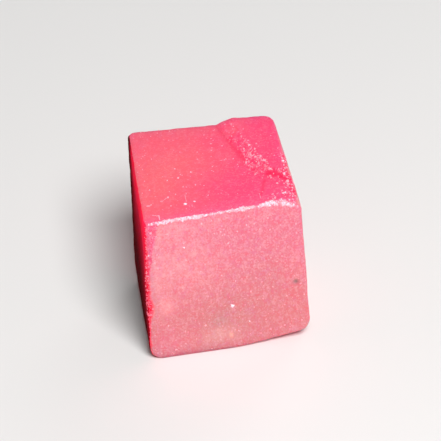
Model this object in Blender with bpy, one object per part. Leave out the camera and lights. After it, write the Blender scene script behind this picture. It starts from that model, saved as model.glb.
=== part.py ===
"""A ruby crystal: one natural parting block of corundum, standing on its flat base.

Metres, +Z up. The origin is the centre of the base and the front face looks along -Y.

The block is a cube whose eight corners are moved to where the six crystal faces meet. The
cube is then divided finely, and each of its points slides along the ray from the block's
centre until it lies on the crystal's surface: the faces with their rounded edges, chipped
corners and the broken ledge on top. Last, the points move a little in or out for the
uneven growth of the faces and the crushed blocks along the breaks.
"""

from itertools import product
from math import cos, radians, sin, tan

import bmesh
import bpy
import numpy as np

MM = 0.001

# Driving dimensions.
BASE_WIDTH = 14.52 * MM  # left face to right face, through the origin
BASE_DEPTH = 11.96 * MM  # front face to back face, through the origin
HEIGHT = 16.35 * MM  # base to the lower terrace of the top, above the origin
LEDGE_RISE = 0.58 * MM  # lower terrace to the raised one

# How far each face is out of square. A lean moves the face outwards going up, and a skew
# moves it outwards going along +X, or along +Y on the left and right faces.
FRONT_LEAN = tan(radians(1.8))
BACK_LEAN = tan(radians(1.96))
BACK_SKEW = tan(radians(2.2))
BACK_TWIST = -10.2  # change of the back face's skew for each metre up
LEFT_LEAN = tan(radians(-1.96))
LEFT_SKEW = tan(radians(-1.64))
RIGHT_LEAN = tan(radians(-1.75))
RIGHT_SKEW = tan(radians(-2.07))
TOP_RISE_X = tan(radians(1.74))
TOP_RISE_Y = tan(radians(-1.84))

# How far from a sharp edge its rounding begins.
ROUND_FRONT_LEFT = 0.30 * MM
ROUND_FRONT_RIGHT = 0.32 * MM
ROUND_BACK = 0.30 * MM
ROUND_TOP_FRONT = 0.20 * MM
ROUND_TOP = 0.45 * MM
ROUND_BASE = 0.30 * MM

# Chips: a point of the sharp block, the way the broken face looks, how deep it is cut
# under that point, and how far its rounding reaches.
CHIPS = {
    "front right top corner": ((6.97, -6.50, 16.64), (0.42, -0.34, 0.84), 0.72, 0.25),
    "right edge under the ledge": ((6.75, -3.60, 16.56), (0.74, -0.05, 0.67), 0.16, 0.30),
    "front edge, right of middle": ((4.80, -6.50, 16.58), (0.05, -0.78, 0.62), 0.13, 0.20),
    "front left edge": ((-7.18, -6.24, 8.00), (-0.76, -0.65, 0.006), 0.17, 0.12),
    "front left top corner": ((-6.88, -6.50, 16.22), (-0.50, -0.62, 0.60), 0.36, 0.20),
    "front left bottom corner": ((-7.46, -5.98, 0.00), (-0.62, -0.48, -0.62), 0.66, 0.30),
    "left bottom edge": ((-7.26, 0.00, 0.00), (-0.99, 0.02, -0.10), 0.12, 0.40),
    "front right bottom corner": ((7.46, -5.98, 0.00), (0.80, -0.28, -0.52), 1.00, 0.45),
    "front right bottom edge": ((1.40, -5.99, 0.00), (0.150, -0.42, -0.89), 0.07, 0.30),
    "back left top corner": ((-6.54, 7.35, 15.95), (-0.58, 0.50, 0.64), 0.22, 0.40),
    "back right top corner": ((6.54, 5.71, 16.91), (0.66, 0.42, 0.62), 0.26, 0.35),
    "back left bottom corner": ((-7.09, 5.70, 0.00), (-0.60, 0.55, -0.58), 0.06, 0.30),
    "back right bottom corner": ((7.02, 6.24, 0.00), (0.55, 0.60, -0.58), 1.10, 0.25),
    "back right edge": ((6.90, 6.10, 6.20), (0.66, 0.74, -0.10), 0.55, 0.25),
}

# The ledge on top runs from the back edge to the right edge. Its foot and its crest are
# lines of points in millimetres, seen from above.
LEDGE_HEADING = radians(-61.5)  # the way both lines run, from +X
LEDGE_FOOT = (
    (0.95, 7.40), (1.55, 5.37), (1.89, 4.60), (2.19, 3.52), (2.42, 2.46), (2.87, 0.89),
    (2.98, -0.13), (3.48, -1.94), (4.22, -2.87), (5.03, -3.38), (6.00, -3.75), (7.30, -4.20),
)
LEDGE_CREST = (
    (3.35, 7.40), (3.32, 5.92), (3.58, 4.00), (3.62, 3.04), (4.14, 1.52), (4.22, 0.35),
    (4.97, -0.46), (5.01, -1.83), (5.33, -2.29), (6.23, -2.47), (7.30, -2.42),
)
LEDGE_WALL = 0.40  # share of the rise that stands up steeply at the foot
LEDGE_WALL_WIDTH = 0.36  # share of the ledge's width that this wall takes
WALL_FRONT = (-2.8 * MM, 0.6 * MM)  # the wall rises between these places, front to back,
WALL_BACK = (3.5 * MM, 7.5 * MM)  # and lies back to a plain slope between these

# Creases and hollows on top: their lines in millimetres, seen from above, how wide they
# are and how deep.
CREASES = {
    "foot of the ledge": (
        ((1.33, 5.98), (1.84, 4.54), (2.38, 2.42), (2.70, 1.40), (2.97, 0.60), (3.12, -0.11)),
        0.25 * MM, 0.03 * MM,
    ),
    "before the corner": (
        ((4.34, -2.50), (4.33, -3.04), (4.17, -3.72), (3.92, -4.41), (3.66, -5.05)),
        0.25 * MM, 0.05 * MM,
    ),
    "over the hollow": (((4.62, -0.50), (4.78, -1.03), (4.82, -1.87)), 0.25 * MM, 0.03 * MM),
    "broken hollow": (
        ((4.75, -2.50), (5.28, -2.78), (5.70, -3.02), (6.05, -3.30), (6.45, -3.60)),
        0.36 * MM, 0.14 * MM,
    ),
    "second hollow": (((5.74, -3.10), (6.10, -3.60), (6.60, -4.10)), 0.35 * MM, 0.08 * MM),
    "right edge": (
        ((6.80, -1.20), (6.75, -2.60), (6.80, -4.00), (6.80, -5.40)), 0.26 * MM, 0.05 * MM,
    ),
}

# Crushed places beside the ledge, in the same way, with no depth.
SCARS = {
    "right edge": (
        ((6.45, -0.30), (6.60, -1.60), (6.45, -3.20), (6.50, -4.60), (6.35, -5.90)),
        0.55 * MM, 0.0,
    ),
    "before the hollow": (((4.10, -2.40), (5.30, -2.75), (6.30, -3.60)), 0.55 * MM, 0.0),
}

# The pit in the front face: its place as x and z, how wide it is and how deep.
PIT_X, PIT_Z, PIT_WIDTH, PIT_DEPTH = 6.26 * MM, 7.13 * MM, 0.20 * MM, 0.10 * MM

# Steps on the back face, where thin plates have split away: the height of the step's line
# at x = 0, the slope of that line, and the plate's thickness.
BACK_PLATES = (
    (4.6 * MM, 0.45, 0.34 * MM),
    (10.4 * MM, -0.30, 0.28 * MM),
)
PLATE_EDGE = 0.9 * MM  # how wide the broken edge of a plate is
PLATE_WANDER = 0.9 * MM  # how far that edge strays from a straight line

# The surface's relief: cell size and height of each part of it.
GROWTH_CELL, GROWTH_HEIGHT = 4.2 * MM, 0.055 * MM
RIPPLE_CELL, RIPPLE_HEIGHT = 1.5 * MM, 0.018 * MM
BLOCK_CELL, BLOCK_HEIGHT = 1.25 * MM, 0.30 * MM
SPLINTER_CELL, SPLINTER_HEIGHT = 0.60 * MM, 0.13 * MM
EDGE_BLOCK_CELL, EDGE_BLOCK_HEIGHT = 0.80 * MM, 0.10 * MM
EDGE_REACH = 0.5 * MM  # how far from an edge the blocks of its crushed rim reach
BLOCKS_SUNK, SPLINTERS_SUNK, EDGE_SUNK = 0.35, 0.35, 0.45  # share that lies under the surface
ON_FACE = (-0.8 * MM, -0.3 * MM)  # a point's distance from a face, from off it to on it
CRUSH_FOOT, CRUSH_CREST = (0.0, 0.15), (1.08, 0.85)  # where across the ledge crushing starts and ends
SCAR_EDGE = (0.35, 0.75)  # nearness to a scar's line, from sound to crushed
BLOCK_TILT = 0.9  # how far the crushed blocks turn out of the crystal's own directions
BASE_FADE = 0.5 * MM  # relief fades out over this height, so that the base stays flat
LATTICE = 32  # cells after which the noise repeats

# The mesh.
CUTS = 104  # cuts along each edge of the cube
TRIANGLE_SHARE = 0.068  # share of the triangles that stays after the flat parts are thinned
HALVINGS = 34  # steps of the search for the surface along a ray
FLAT_WITHIN = 0.03 * MM  # points this low belong to the base

RUBY = (0.86, 0.075, 0.14, 1.0)


def blend_max(a, b, reach):
    """The larger of a and b, rounded off where they differ by less than reach."""
    overlap = np.maximum(reach - np.abs(a - b), 0.0)
    return np.maximum(a, b) + overlap * overlap / (4.0 * reach)


def smooth_step(value, low, high):
    share = np.clip((value - low) / (high - low), 0.0, 1.0)
    return share * share * (3.0 - 2.0 * share)


def smooth_noise(points, cell, seed):
    """Random values from -1 to 1 on a cubic lattice, joined smoothly."""
    table = np.random.default_rng(seed).uniform(-1.0, 1.0, (LATTICE,) * 3)
    place = points / cell
    home = np.floor(place).astype(int)
    share = smooth_step(place - home, 0.0, 1.0)
    value = np.zeros(len(points))
    for corner in product((0, 1), repeat=3):
        weight = np.where(corner, share, 1.0 - share).prod(axis=1)
        value += weight * table[tuple(((home + corner) % LATTICE).T)]
    return value


def crushed_blocks(points, cell, seed):
    """Height from 0 to 1 of small tilted blocks with cut tops, one in each lattice cell."""
    table = np.random.default_rng(seed).random((LATTICE,) * 3 + (13,))
    place = points / cell
    home = np.floor(place).astype(int)
    height = np.zeros(len(points))
    for neighbour in product((-1, 0, 1), repeat=3):
        corner = home + neighbour
        draw = table[tuple((corner % LATTICE).T)]
        away = place - corner - draw[:, :3]
        turned = np.eye(3) + BLOCK_TILT * (draw[:, 3:12].reshape(-1, 3, 3) - 0.5)
        reach = np.abs(np.einsum("nij,nj->ni", turned, away)).max(axis=1)
        size = 0.55 + 0.45 * draw[:, 12]
        height = np.maximum(height, np.minimum(size - reach, 0.65 * size))
    return height


def line_across(points_mm):
    """A line seen from above, as distances along the ledge's heading and across it."""
    x, y = np.array(points_mm).T * MM
    along = x * cos(LEDGE_HEADING) + y * sin(LEDGE_HEADING)
    across = -x * sin(LEDGE_HEADING) + y * cos(LEDGE_HEADING)
    return along, across


def ledge_share(points):
    """0 on the lower terrace, 1 on the raised one, and from 0 to 1 across the ledge."""
    x, y = points[:, 0], points[:, 1]
    along = x * cos(LEDGE_HEADING) + y * sin(LEDGE_HEADING)
    across = -x * sin(LEDGE_HEADING) + y * cos(LEDGE_HEADING)
    foot = np.interp(along, *line_across(LEDGE_FOOT))
    crest = np.interp(along, *line_across(LEDGE_CREST))
    return np.clip((across - foot) / (crest - foot), 0.0, 1.0)


def ledge_height(points):
    """A short steep wall at the foot, then a slope up to the raised terrace."""
    share = ledge_share(points)
    y = points[:, 1]
    steep = smooth_step(y, *WALL_FRONT) * (1.0 - smooth_step(y, *WALL_BACK))
    wall = LEDGE_WALL * steep * smooth_step(share, 0.0, LEDGE_WALL_WIDTH)
    slope = (1.0 - LEDGE_WALL * steep) * smooth_step(share, LEDGE_WALL_WIDTH * steep, 1.0)
    return LEDGE_RISE * (wall + slope)


def near_lines(points, lines):
    """How near points are to the nearest line, 1 on it, and the depth they take from it."""
    place = points[:, :2]
    nearest, deepest = np.zeros(len(points)), np.zeros(len(points))
    for corners, width, depth in lines.values():
        corners = np.array(corners) * MM
        distance = np.full(len(points), np.inf)
        for start, end in zip(corners[:-1], corners[1:]):
            run = end - start
            share = np.clip((place - start) @ run / (run @ run), 0.0, 1.0)
            away = np.linalg.norm(place - start - share[:, None] * run, axis=1)
            distance = np.minimum(distance, away)
        near = np.exp(-((distance / width) ** 2))
        nearest = np.maximum(nearest, near)
        deepest = np.maximum(deepest, depth * near)
    return nearest, deepest


def plates_lost(points):
    """How deep the back face lies under the plates that are left on it."""
    x, z = points[:, 0], points[:, 2]
    depth = np.zeros(len(points))
    wander = PLATE_WANDER * smooth_noise(points, GROWTH_CELL, 21)
    for height, slope, thickness in BACK_PLATES:
        line = height + slope * x + wander
        depth += thickness * smooth_step(line - z, -0.5 * PLATE_EDGE, 0.5 * PLATE_EDGE)
    return depth


def face_distances(points):
    """How far points lie outside each face, with no rounding: negative is inside."""
    x, y, z = points.T
    back = y - 0.5 * BASE_DEPTH - BACK_LEAN * z - (BACK_SKEW + BACK_TWIST * z) * x
    top = z - HEIGHT - TOP_RISE_X * x - TOP_RISE_Y * y
    return {
        "left": -x - 0.5 * BASE_WIDTH - LEFT_LEAN * z - LEFT_SKEW * y,
        "right": x - 0.5 * BASE_WIDTH - RIGHT_LEAN * z - RIGHT_SKEW * y,
        "front": -y - 0.5 * BASE_DEPTH - FRONT_LEAN * z,
        "back": back + plates_lost(points),
        "top": top - ledge_height(points),
        "base": -z,
    }


def outside(points):
    """How far points lie outside the crystal, with rounded edges and chips."""
    face = face_distances(points)
    sides = blend_max(face["left"], face["front"], ROUND_FRONT_LEFT)
    sides = blend_max(sides, face["right"], ROUND_FRONT_RIGHT)
    sides = blend_max(sides, face["back"], ROUND_BACK)
    at_front = np.exp((face["front"] - sides) / ROUND_TOP)
    round_top = ROUND_TOP + (ROUND_TOP_FRONT - ROUND_TOP) * np.minimum(at_front, 1.0)
    distance = blend_max(sides, face["top"], round_top)
    distance = blend_max(distance, face["base"], ROUND_BASE)
    for point, direction, depth, rounding in CHIPS.values():
        direction = np.array(direction) / np.linalg.norm(direction)
        chip = (points - np.array(point) * MM) @ direction + depth * MM
        distance = blend_max(distance, chip, rounding * MM)
    return distance


def outward(points):
    """Unit vectors at right angles to the surface, from the change of outside()."""
    step = 0.01 * MM
    slopes = [outside(points + step * axis) - outside(points - step * axis) for axis in np.eye(3)]
    normal = np.stack(slopes, axis=1)
    return normal / np.linalg.norm(normal, axis=1, keepdims=True)


def relief(points):
    """How far the real surface stands out from the smooth one."""
    face = face_distances(points)
    nearest = np.sort(np.stack(list(face.values())), axis=0)
    edge = np.exp(-(nearest[-1] - nearest[-2]) / EDGE_REACH)
    share = ledge_share(points)
    on_top = smooth_step(face["top"], *ON_FACE)
    on_front = smooth_step(face["front"], *ON_FACE)
    broken = on_top * smooth_step(share, *CRUSH_FOOT) * smooth_step(share, *CRUSH_CREST)
    scarred = on_top * smooth_step(near_lines(points, SCARS)[0], *SCAR_EDGE)
    crushed = np.maximum(broken, scarred)
    blocks = crushed_blocks(points, BLOCK_CELL, 13) - BLOCKS_SUNK
    splinters = crushed_blocks(points, SPLINTER_CELL, 16) - SPLINTERS_SUNK
    edge_blocks = crushed_blocks(points, EDGE_BLOCK_CELL, 14) - EDGE_SUNK
    from_pit = np.hypot(points[:, 0] - PIT_X, points[:, 2] - PIT_Z)
    stand = GROWTH_HEIGHT * smooth_noise(points, GROWTH_CELL, 11)
    stand += RIPPLE_HEIGHT * smooth_noise(points, RIPPLE_CELL, 12)
    stand += BLOCK_HEIGHT * broken * blocks
    stand += SPLINTER_HEIGHT * crushed * splinters
    stand += EDGE_BLOCK_HEIGHT * edge * edge_blocks
    stand -= on_top * near_lines(points, CREASES)[1]
    stand -= PIT_DEPTH * on_front * np.exp(-((from_pit / PIT_WIDTH) ** 2))
    return stand * smooth_step(points[:, 2], 0.0, BASE_FADE)


def sharp_corner(*names):
    """The point where three faces meet, found by a few Newton steps on their distances."""
    point = np.zeros((1, 3))
    point[0, 2] = 0.5 * HEIGHT
    step = 0.01 * MM
    for _ in range(6):
        here = face_distances(point)
        moved = [face_distances(point + step * axis) for axis in np.eye(3)]
        slopes = [[(there[name] - here[name])[0] / step for there in moved] for name in names]
        point = point - np.linalg.solve(slopes, [here[name][0] for name in names])
    return point[0]


def block_mesh():
    """The cube, its corners on the crystal's corners, divided and slid onto the surface."""
    bm = bmesh.new()
    bmesh.ops.create_cube(bm, size=2.0)
    for vert in bm.verts:
        x, y, z = vert.co
        vert.co = sharp_corner(
            "left" if x < 0 else "right", "front" if y < 0 else "back", "base" if z < 0 else "top"
        )
    bmesh.ops.subdivide_edges(bm, edges=bm.edges, cuts=CUTS, use_grid_fill=True)
    bmesh.ops.triangulate(bm, faces=bm.faces)
    mesh = bpy.data.meshes.new("ruby_crystal")
    bm.to_mesh(mesh)
    bm.free()

    points = np.empty(len(mesh.vertices) * 3)
    mesh.vertices.foreach_get("co", points)
    centre = np.array((0.0, 0.0, 0.5 * HEIGHT))
    ray = points.reshape(-1, 3) - centre
    near, far = np.full(len(ray), 0.6), np.full(len(ray), 1.4)
    for _ in range(HALVINGS):
        middle = 0.5 * (near + far)
        out = outside(centre + ray * middle[:, None]) > 0.0
        near, far = np.where(out, near, middle), np.where(out, middle, far)
    points = centre + ray * near[:, None]
    points += outward(points) * relief(points)[:, None]
    mesh.vertices.foreach_set("co", points.ravel())
    mesh.update()
    return mesh


def thinned(obj):
    """The object's mesh with fewer triangles where it is flat, standing on a level base."""
    modifier = obj.modifiers.new("thin the flats", "DECIMATE")
    modifier.ratio = TRIANGLE_SHARE
    graph = bpy.context.evaluated_depsgraph_get()
    mesh = bpy.data.meshes.new_from_object(obj.evaluated_get(graph))
    obj.modifiers.remove(modifier)
    points = np.empty(len(mesh.vertices) * 3)
    mesh.vertices.foreach_get("co", points)
    height = points[2::3]
    height[height < FLAT_WITHIN] = 0.0
    mesh.vertices.foreach_set("co", points)
    mesh.update()
    return mesh


def ruby_material():
    material = bpy.data.materials.new("ruby")
    material.use_nodes = True
    shader = material.node_tree.nodes["Principled BSDF"]
    shader.inputs["Base Color"].default_value = RUBY
    shader.inputs["Roughness"].default_value = 0.5
    shader.inputs["Metallic"].default_value = 0.0
    return material


def main():
    for obj in list(bpy.data.objects):
        bpy.data.objects.remove(obj)
    collection = bpy.data.collections.new("ruby crystal")
    bpy.context.scene.collection.children.link(collection)

    crystal = bpy.data.objects.new("ruby_crystal", block_mesh())
    collection.objects.link(crystal)
    crystal.data = thinned(crystal)
    crystal.data.materials.append(ruby_material())


main()
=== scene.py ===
from itertools import product
from math import cos, radians, sin, tan

import bpy
import numpy as np
from mathutils import Matrix, Vector


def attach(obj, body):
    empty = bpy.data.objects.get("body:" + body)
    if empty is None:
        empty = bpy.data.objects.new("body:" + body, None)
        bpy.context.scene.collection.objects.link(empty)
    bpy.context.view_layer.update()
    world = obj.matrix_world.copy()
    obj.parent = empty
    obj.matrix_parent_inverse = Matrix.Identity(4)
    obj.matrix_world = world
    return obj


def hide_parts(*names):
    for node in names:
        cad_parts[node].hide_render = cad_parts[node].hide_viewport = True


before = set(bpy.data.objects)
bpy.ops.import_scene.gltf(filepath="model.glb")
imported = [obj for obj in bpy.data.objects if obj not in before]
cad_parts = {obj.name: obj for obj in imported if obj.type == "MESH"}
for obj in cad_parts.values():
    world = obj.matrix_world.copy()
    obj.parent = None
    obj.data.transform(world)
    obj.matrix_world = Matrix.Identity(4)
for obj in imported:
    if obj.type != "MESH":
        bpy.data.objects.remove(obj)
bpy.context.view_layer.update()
mm = 0.001

print("ruby crystal: frame loaded")

block = {
    "baseWidth": 14.52 * mm,  # left face to right face, through the origin
    "baseDepth": 11.96 * mm,  # front face to back face
    "height": 16.35 * mm,  # base to the lower terrace of the top
    "frontLean": tan(radians(1.8)),  # a lean moves a face outwards going up
    "backLean": tan(radians(1.96)),
    "backSkew": tan(radians(2.2)),  # a skew moves it outwards along +X or +Y
    "backTwist": -10.2,  # change of that skew for each metre up
    "leftLean": tan(radians(-1.96)),
    "leftSkew": tan(radians(-1.64)),
    "rightLean": tan(radians(-1.75)),
    "rightSkew": tan(radians(-2.07)),
    "topRiseX": tan(radians(1.74)),
    "topRiseY": tan(radians(-1.84)),
    "roundFrontLeft": 0.30 * mm,  # how far from a sharp edge its rounding begins
    "roundFrontRight": 0.32 * mm,
    "roundBack": 0.30 * mm,
    "roundTopFront": 0.20 * mm,
    "roundTop": 0.45 * mm,
    "roundBase": 0.30 * mm,
    "counts": (126, 112, 146),  # grid cells along X, Y and Z
    "crowding": 0.30,  # how much closer the grid lines stand at the edges, 0 to 1
    "lean": (0.20, -0.10, 0.25),  # how much closer at the far ends, to the right, back and top
    "probe": 0.01 * mm,  # step over which slopes are measured
    "cornerSteps": 6,  # Newton steps that find a sharp corner
    "rays": (0.6, 1.4),  # a ray meets the surface between these shares of its length,
    "halvings": 26,  # and this many halvings find where
}

# A point of the sharp block, the way the chip looks, its depth there and its rounding, in mm.
chips = {
    "front right top corner": ((6.97, -6.50, 16.64), (0.42, -0.34, 0.84), 0.72, 0.25),
    "right edge under the ledge": ((6.75, -3.60, 16.56), (0.74, -0.05, 0.67), 0.16, 0.30),
    "front edge, right of middle": ((4.80, -6.50, 16.58), (0.05, -0.78, 0.62), 0.13, 0.20),
    "front left edge": ((-7.18, -6.24, 8.00), (-0.76, -0.65, 0.006), 0.17, 0.12),
    "front left top corner": ((-6.88, -6.50, 16.22), (-0.50, -0.62, 0.60), 0.36, 0.20),
    "front left bottom corner": ((-7.46, -5.98, 0.00), (-0.62, -0.48, -0.62), 0.66, 0.30),
    "left bottom edge": ((-7.26, 0.00, 0.00), (-0.99, 0.02, -0.10), 0.12, 0.40),
    "front right bottom corner": ((7.46, -5.98, 0.00), (0.80, -0.28, -0.52), 1.00, 0.45),
    "front right bottom edge": ((1.40, -5.99, 0.00), (0.150, -0.42, -0.89), 0.07, 0.30),
    "back left top corner": ((-6.54, 7.35, 15.95), (-0.58, 0.50, 0.64), 0.22, 0.40),
    "back right top corner": ((6.54, 5.71, 16.91), (0.66, 0.42, 0.62), 0.26, 0.35),
    "back left bottom corner": ((-7.09, 5.70, 0.00), (-0.60, 0.55, -0.58), 0.06, 0.30),
    "back right bottom corner": ((7.02, 6.24, 0.00), (0.55, 0.60, -0.58), 1.10, 0.25),
    "back right edge": ((6.90, 6.10, 6.20), (0.66, 0.74, -0.10), 0.55, 0.25),
}

ledge = {
    "rise": 0.58 * mm,  # lower terrace to the raised one
    "heading": radians(-61.5),  # the way the foot and the crest run, from +X
    "foot": (
        (0.95, 7.40), (1.55, 5.37), (1.89, 4.60), (2.19, 3.52), (2.42, 2.46), (2.87, 0.89),
        (2.98, -0.13), (3.48, -1.94), (4.22, -2.87), (5.03, -3.38), (6.00, -3.75), (7.30, -4.20),
    ),
    "crest": (
        (3.35, 7.40), (3.32, 5.92), (3.58, 4.00), (3.62, 3.04), (4.14, 1.52), (4.22, 0.35),
        (4.97, -0.46), (5.01, -1.83), (5.33, -2.29), (6.23, -2.47), (7.30, -2.42),
    ),
    "wall": 0.40,  # share of the rise that stands up steeply at the foot
    "wallWidth": 0.22,  # share of the ledge's width that this wall takes
    "wallFront": (-2.8 * mm, 0.6 * mm),  # the wall rises between these places, front to back,
    "wallBack": (3.5 * mm, 7.5 * mm),  # and lies back to a plain slope between these
}

backPlates = {
    "steps": ((4.6 * mm, 0.45, 0.34 * mm), (10.4 * mm, -0.30, 0.28 * mm)),  # height, slope, thickness
    "edge": 0.7 * mm,  # how wide the broken edge of a plate is
    "wander": ((0.9 * mm, 4.2 * mm, 21),),  # noise that moves it: height, cell size and seed
}

surfaceRelief = {
    "smooth": {  # height, cell size and seed of each noise
        "growth": (0.055 * mm, 4.2 * mm, 11),
        "ripple": (0.018 * mm, 1.5 * mm, 12),
        "sugar": (0.010 * mm, 0.34 * mm, 15),
    },
    "crushed": {  # the same for each kind of block, and how deep it sits, as a share of its height
        "blocks": (0.30 * mm, 1.25 * mm, 13, 0.35),
        "splinters": (0.13 * mm, 0.36 * mm, 16, 0.35),
        "edgeBlocks": (0.10 * mm, 0.80 * mm, 14, 0.45),
        "edgeCrumbs": (0.11 * mm, 0.38 * mm, 17, 0.35),
        "bandCrumbs": (0.09 * mm, 0.42 * mm, 18, 0.35),
    },
    "tips": {  # the mask of their tips, and the shares of the height between which it grows; the tips are coloured paler, partly crushed ruby's own pale and partly a painted highlight
        "splinters": ("tips", 0.28, 0.55),
        "edgeCrumbs": ("rimTips", 0.22, 0.50),
        "bandCrumbs": ("bandTips", 0.22, 0.52),
    },
    "onBevel": 0.5,  # how high the band's crumbs stand on the bevel, as a share
    "pitDepth": 0.10 * mm,
    "blockSize": (0.55, 0.45),  # half size of the smallest block, and what is added at random, in cells
    "blockCut": 0.65,  # a block is cut flat at this share of its half size
    "blockTilt": 0.9,  # how far the blocks turn out of the crystal's own directions
    "baseFade": 0.5 * mm,  # relief fades out over this height, so the base stays flat
    "lattice": 32,  # cells after which the noise repeats
}


def blendMax(a, b, reach):
    # the larger of a and b, plus (reach - |a - b|)^2 / (4 reach) where they are nearer than reach
    overlap = np.maximum(reach - np.abs(a - b), 0.0)
    return np.maximum(a, b) + overlap * overlap / (4.0 * reach)


def smoothStep(value, low, high):
    # 3 t^2 - 2 t^3 of how far the value is from low to high
    share = np.clip((value - low) / (high - low), 0.0, 1.0)
    return share * share * (3.0 - 2.0 * share)


def smoothNoise(points, cell, seed):
    # random values from -1 to 1 at the corners of a cubic lattice, blended by smoothStep
    size = surfaceRelief["lattice"]
    table = np.random.default_rng(seed).uniform(-1.0, 1.0, (size,) * 3)
    place = points / cell
    home = np.floor(place).astype(int)
    share = smoothStep(place - home, 0.0, 1.0)
    value = np.zeros(len(points))
    for corner in product((0, 1), repeat=3):
        weight = np.where(corner, share, 1.0 - share).prod(axis=1)
        value += weight * table[tuple(((home + corner) % size).T)]
    return value


def mixedNoise(points, parts):
    # the sum of several smooth noises, each given by its height, cell size and seed
    return sum(height * smoothNoise(points, cell, seed) for height, cell, seed in parts)


def crushedBlocks(points, cell, seed):
    # one tilted block per lattice cell: size minus the largest of |turned axis . offset|, cut flat.
    # Each block has 13 draws: 3 for its place, 9 for its turn and 1 for its size.
    size = surfaceRelief["lattice"]
    smallest, added = surfaceRelief["blockSize"]
    table = np.random.default_rng(seed).random((size,) * 3 + (13,))
    place = points / cell
    home = np.floor(place).astype(int)
    height = np.zeros(len(points))
    for neighbour in product((-1, 0, 1), repeat=3):
        corner = home + neighbour
        draw = table[tuple((corner % size).T)]
        away = place - corner - draw[:, :3]
        turned = np.eye(3) + surfaceRelief["blockTilt"] * (draw[:, 3:12].reshape(-1, 3, 3) - 0.5)
        reach = np.abs(np.einsum("nij,nj->ni", turned, away)).max(axis=1)
        blockSize = smallest + added * draw[:, 12]
        height = np.maximum(height, np.minimum(blockSize - reach, surfaceRelief["blockCut"] * blockSize))
    return height


def alongAndAcross(x, y):
    # plan coordinates turned to run along the ledge's heading and across it
    c, s = cos(ledge["heading"]), sin(ledge["heading"])
    return x * c + y * s, y * c - x * s


def ledgeShare(points):
    # 0 at the foot line, 1 at the crest line, by how far across the ledge a point is
    along, across = alongAndAcross(points[:, 0], points[:, 1])
    foot = np.interp(along, *alongAndAcross(*np.array(ledge["foot"]).T * mm))
    crest = np.interp(along, *alongAndAcross(*np.array(ledge["crest"]).T * mm))
    return (across - foot) / (crest - foot)


def ledgeHeight(points):
    # a steep wall at the foot, then a slope up to the raised terrace
    share = ledgeShare(points)
    y = points[:, 1]
    steep = smoothStep(y, *ledge["wallFront"]) * (1.0 - smoothStep(y, *ledge["wallBack"]))
    wall = ledge["wall"] * steep * smoothStep(share, 0.0, ledge["wallWidth"])
    slope = (1.0 - ledge["wall"] * steep) * smoothStep(share, ledge["wallWidth"] * steep, 1.0)
    return ledge["rise"] * (wall + slope)


def platesLost(points):
    # depth of the back face below each plate's wandering edge line z = height + slope x
    x, z = points[:, 0], points[:, 2]
    half = 0.5 * backPlates["edge"]
    wander = mixedNoise(points, backPlates["wander"])
    depth = np.zeros(len(points))
    for height, slope, thickness in backPlates["steps"]:
        depth += thickness * smoothStep(height + slope * x + wander - z, -half, half)
    return depth


def faceDistances(points):
    # how far points lie outside each flat face: negative is inside
    x, y, z = points.T
    skew = block["backSkew"] + block["backTwist"] * z
    back = y - 0.5 * block["baseDepth"] - block["backLean"] * z - skew * x
    top = z - block["height"] - block["topRiseX"] * x - block["topRiseY"] * y
    return {
        "left": -x - 0.5 * block["baseWidth"] - block["leftLean"] * z - block["leftSkew"] * y,
        "right": x - 0.5 * block["baseWidth"] - block["rightLean"] * z - block["rightSkew"] * y,
        "front": -y - 0.5 * block["baseDepth"] - block["frontLean"] * z,
        "back": back + platesLost(points),
        "top": top - ledgeHeight(points),
        "base": -z,
    }


def chipDistance(points, name):
    # how far points lie outside a chip's plane
    point, direction, depth, _ = chips[name]
    direction = np.array(direction) / np.linalg.norm(direction)
    return (points - np.array(point) * mm) @ direction + depth * mm


def outside(points):
    # rounded largest of the face distances and of the chips' planes
    face = faceDistances(points)
    sides = blendMax(face["left"], face["front"], block["roundFrontLeft"])
    sides = blendMax(sides, face["right"], block["roundFrontRight"])
    sides = blendMax(sides, face["back"], block["roundBack"])
    atFront = np.minimum(np.exp((face["front"] - sides) / block["roundTop"]), 1.0)
    roundTop = block["roundTop"] + (block["roundTopFront"] - block["roundTop"]) * atFront
    distance = blendMax(sides, face["top"], roundTop)
    distance = blendMax(distance, face["base"], block["roundBase"])
    for name, (_, _, _, rounding) in chips.items():
        distance = blendMax(distance, chipDistance(points, name), rounding * mm)
    return distance


def outward(points):
    # unit vectors along the steepest rise of outside()
    step = block["probe"]
    slopes = [outside(points + step * axis) - outside(points - step * axis) for axis in np.eye(3)]
    normal = np.stack(slopes, axis=1)
    return normal / np.linalg.norm(normal, axis=1, keepdims=True)


def sharpCorner(*names):
    # where three faces meet, by Newton steps on their distances
    point = np.array([[0.0, 0.0, 0.5 * block["height"]]])
    step = block["probe"]
    for _ in range(block["cornerSteps"]):
        here = faceDistances(point)
        moved = [faceDistances(point + step * axis) for axis in np.eye(3)]
        slopes = [[(there[name] - here[name])[0] / step for there in moved] for name in names]
        point = point - np.linalg.solve(slopes, [here[name][0] for name in names])
    return point[0]


def boxGrid(counts):
    # whole-number lattice points on the six sides of a box, each once, and the quads between them
    keys, quads, used = [], [], 0
    for axis, side in product(range(3), (0, 1)):
        a, b = (axis + 1) % 3, (axis + 2) % 3
        i, j = np.meshgrid(np.arange(counts[a] + 1), np.arange(counts[b] + 1), indexing="ij")
        key = np.zeros(i.shape + (3,), int)
        key[..., axis], key[..., a], key[..., b] = side * counts[axis], i, j
        number = used + np.arange(i.size).reshape(i.shape)
        ring = (number[:-1, :-1], number[1:, :-1], number[1:, 1:], number[:-1, 1:])
        quads.append(np.stack(ring if side else ring[::-1], axis=-1).reshape(-1, 4))
        keys.append(key.reshape(-1, 3))
        used += i.size
    keys, same = np.unique(np.concatenate(keys), axis=0, return_inverse=True)
    return keys, same.reshape(-1)[np.concatenate(quads)]


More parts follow.
